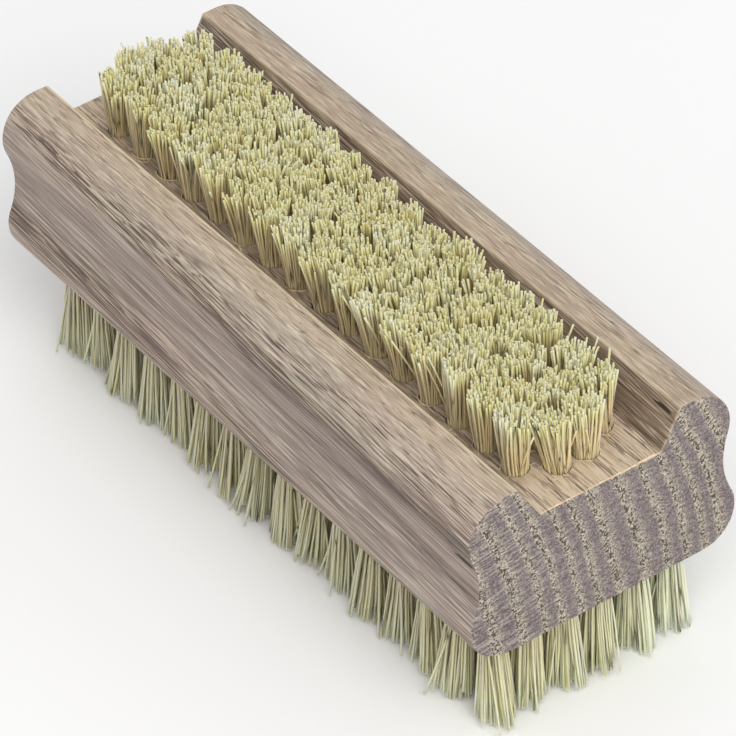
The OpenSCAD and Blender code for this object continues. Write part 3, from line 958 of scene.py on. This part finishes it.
def bristle_material(mottle):
    """Plant fibre: bare tan at the root, lightened partly as painted light, greener above, pale at
    the cut tip with a painted highlight, with a tone of its own for each fibre, a few brown ones,
    tan patches low down and fine ridges along it. Under the block the left side is darker away from
    the front end as painted shade, and the right side paler as painted light."""
    material, tree, surface = new_material("plant fibre", 0.65)
    for label, value in (
        ("Specular IOR Level", 0.02), ("Subsurface Weight", 1.0),
        ("Subsurface Radius", (0.6, 0.68, 1.0)), ("Subsurface Scale", 0.0008),
    ):
        surface.inputs[label].default_value = value
    place = millimetres(tree)
    along = put(tree, "Attribute", attribute_name="along").outputs["Fac"]
    tone = put(tree, "Attribute", attribute_name="tone").outputs["Fac"]
    colour = steps(tree, tone, [
        (0.0, shade(203, 190, 128)), (0.3, shade(214, 205, 142)), (0.6, shade(222, 215, 163)),
        (0.88, shade(223, 229, 195)), (0.97, shade(212, 190, 148)),
    ])
    x, y, z = put(tree, "SeparateXYZ", {0: place}).outputs
    under = maths(tree, "LESS_THAN", z, 1000 * float(UNDERSIDE_Z))
    root = steps(tree, along, [(0.0, 0.7), (0.5, 0.9), (0.9, 0.0)])
    # The root colour is the fibre's bare tan, lightened partly as painted light.
    bare_root_and_painted_light = blend(tree, under, shade(248, 220, 174), shade(222, 217, 178))
    colour = blend(tree, root, colour, bare_root_and_painted_light)
    patches = mottled(tree, mottle, place, 0.9)
    tan = mottled(tree, mottle, place, 1.5)
    tan = times(tree, tan, steps(tree, along, [(0.35, 0.35), (0.85, 0.0)]))
    # Pale cut tips with a painted highlight.
    pale_tip_highlight = steps(tree, along, [(0.9, 0.0), (1.0, 0.1)])
    # Painted shade on the left side under the block, away from the front end.
    left, behind = between(tree, y, -9.0, -13.0), between(tree, x, 43.0, 30.0)
    painted_shade = times(tree, times(tree, left, behind), times(tree, under, 0.4))
    # Painted light on the right side under the block.
    right = times(tree, between(tree, y, -6.0, 12.0), times(tree, under, 0.6))
    colour = tint(tree, colour, [
        (times(tree, patches, 0.25), (188, 198, 146)), (tan, (210, 172, 120)),
        (pale_tip_highlight, (240, 236, 204)), (painted_shade, (160, 156, 138)), (right, (240, 253, 222)),
    ])
    ridges = streaks(tree, place, (9.0, 9.0, 0.5))
    finish_surface(tree, surface, colour, patches, (0.55, 0.75), ridges, 0.35, 0.00006)
    return material


def torn_fibre_material(mottle):
    """Slivers of bare wood: pale straw with browner stretches and a matt, stringy surface."""
    material, tree, surface = new_material("torn wood fibre", 0.75)
    place = millimetres(tree)
    patches = mottled(tree, mottle, place, 0.6)
    colour = blend(tree, patches, shade(242, 226, 196), shade(206, 178, 142))
    strings = streaks(tree, place, (6.0, 18.0, 18.0))
    finish_surface(tree, surface, colour, patches, (0.65, 0.85), strings, 0.4, 0.00003)
    return material


def wire_material(mottle):
    """Flat drawn wire: grey metal with fine lines along X and duller patches."""
    material, tree, surface = new_material("anchor wire", 0.35)
    surface.inputs["Metallic"].default_value = 1.0
    place = millimetres(tree)
    drawn = streaks(tree, place, (0.4, 14.0, 14.0))
    patches = mottled(tree, mottle, place, 1.2)
    colour = blend(tree, patches, shade(158, 160, 163), shade(186, 187, 189))
    finish_surface(tree, surface, colour, patches, (0.28, 0.48), drawn, 0.3, 0.00003)
    return material


# Studio

FLOOR_SIZE = 6.0
SKY_STRENGTH = 0.62
LAMP_SIZE = 1.4
LAMP_PLACE = (1.11, -0.34, 1.23)
LAMP_ENERGY = 17.6


def make_floor():
    """A plain white floor under the bristle tips."""
    material, _, surface = new_material("white floor", 0.9)
    surface.inputs["Base Color"].default_value = (0.98, 0.98, 0.98, 1)
    surface.inputs["Specular IOR Level"].default_value = 0.0
    half = FLOOR_SIZE / 2
    corners = [(-half, -half, 0), (half, -half, 0), (half, half, 0), (-half, half, 0)]
    new_piece("floor", corners, [(0, 1, 2, 3)], [material])


def make_light():
    """A white sky, shown at full strength where it is seen or mirrored, and one broad soft lamp
    above the front end."""
    world = bpy.data.worlds.new("soft studio")
    bpy.context.scene.world = world
    world.use_nodes = True
    tree = world.node_tree
    ray = put(tree, "LightPath").outputs
    seen = plus(tree, ray["Is Camera Ray"], ray["Is Glossy Ray"])
    seen = plus(tree, seen, ray["Is Transmission Ray"], clamp=True)
    strength = between(tree, seen, 0.0, 1.0, SKY_STRENGTH, 1.0)
    sky = tree.nodes["Background"]
    sky.inputs["Color"].default_value = (1, 1, 1, 1)
    tree.links.new(strength, sky.inputs["Strength"])
    lamp = bpy.data.lights.new("soft lamp", "AREA")
    lamp.shape, lamp.size, lamp.energy = "DISK", LAMP_SIZE, LAMP_ENERGY
    holder = bpy.data.objects.new("soft lamp", lamp)
    holder.location = LAMP_PLACE
    holder.rotation_euler = (-holder.location).to_track_quat("-Z", "Y").to_euler()
    bpy.context.scene.collection.objects.link(holder)


def make_camera():
    """The photograph's view: azimuth and elevation of the way back, a roll, and an aim beside the
    middle of the block's underside."""
    azimuth, elevation, roll = (math.radians(angle) for angle in CAMERA_ANGLES)
    back = Vector((
        math.sin(azimuth) * math.cos(elevation),
        -math.cos(azimuth) * math.cos(elevation),
        math.sin(elevation),
    ))
    level = Vector((math.cos(azimuth), math.sin(azimuth), 0))
    upright = back.cross(level)
    right = math.cos(roll) * level + math.sin(roll) * upright
    up = -math.sin(roll) * level + math.cos(roll) * upright
    aim = Vector((0, 0, UNDERSIDE_Z)) + CAMERA_AIM_RIGHT * right + CAMERA_AIM_UP * up
    camera = bpy.data.objects.new("camera", bpy.data.cameras.new("camera"))
    camera.data.lens = CAMERA_LENS
    camera.data.sensor_width = 36.0
    camera.data.clip_start, camera.data.clip_end = 0.01, 20.0
    camera.matrix_world = Matrix.Translation(aim + CAMERA_DISTANCE * back) @ Matrix(
        (right, up, back)
    ).transposed().to_4x4()
    bpy.context.scene.collection.objects.link(camera)
    bpy.context.scene.camera = camera


# Brush

make_camera()
make_light()
make_floor()
figure, mottle = wood_figure_group(), mottle_group()
make_block(long_grain_material(figure, mottle), end_grain_material(figure, mottle))
make_torn_fibres(torn_fibre_material(mottle))
fibre = bristle_material(mottle)
for row in range(TOP_ROWS):
    centres = top_centres(row)
    make_bristles(TOP_BRISTLES, row, centres, top_lengths(centres), np.zeros_like(centres), fibre)
for row in range(BOTTOM_ROWS):
    centres = bottom_centres(row)
    lengths = np.full(len(centres), UNDERSIDE_Z)
    set_over = centres * [0, BOTTOM_SIDE_LEAN] + [0, BOTTOM_SET]
    make_bristles(BOTTOM_BRISTLES, row, centres, lengths, set_over, fibre)
wire = wire_material(mottle)
for name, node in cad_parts.items():
    if "anchors" in name:
        node.data.materials.clear()
        node.data.materials.append(wire)

bpy.context.scene.view_settings.view_transform = "Standard"
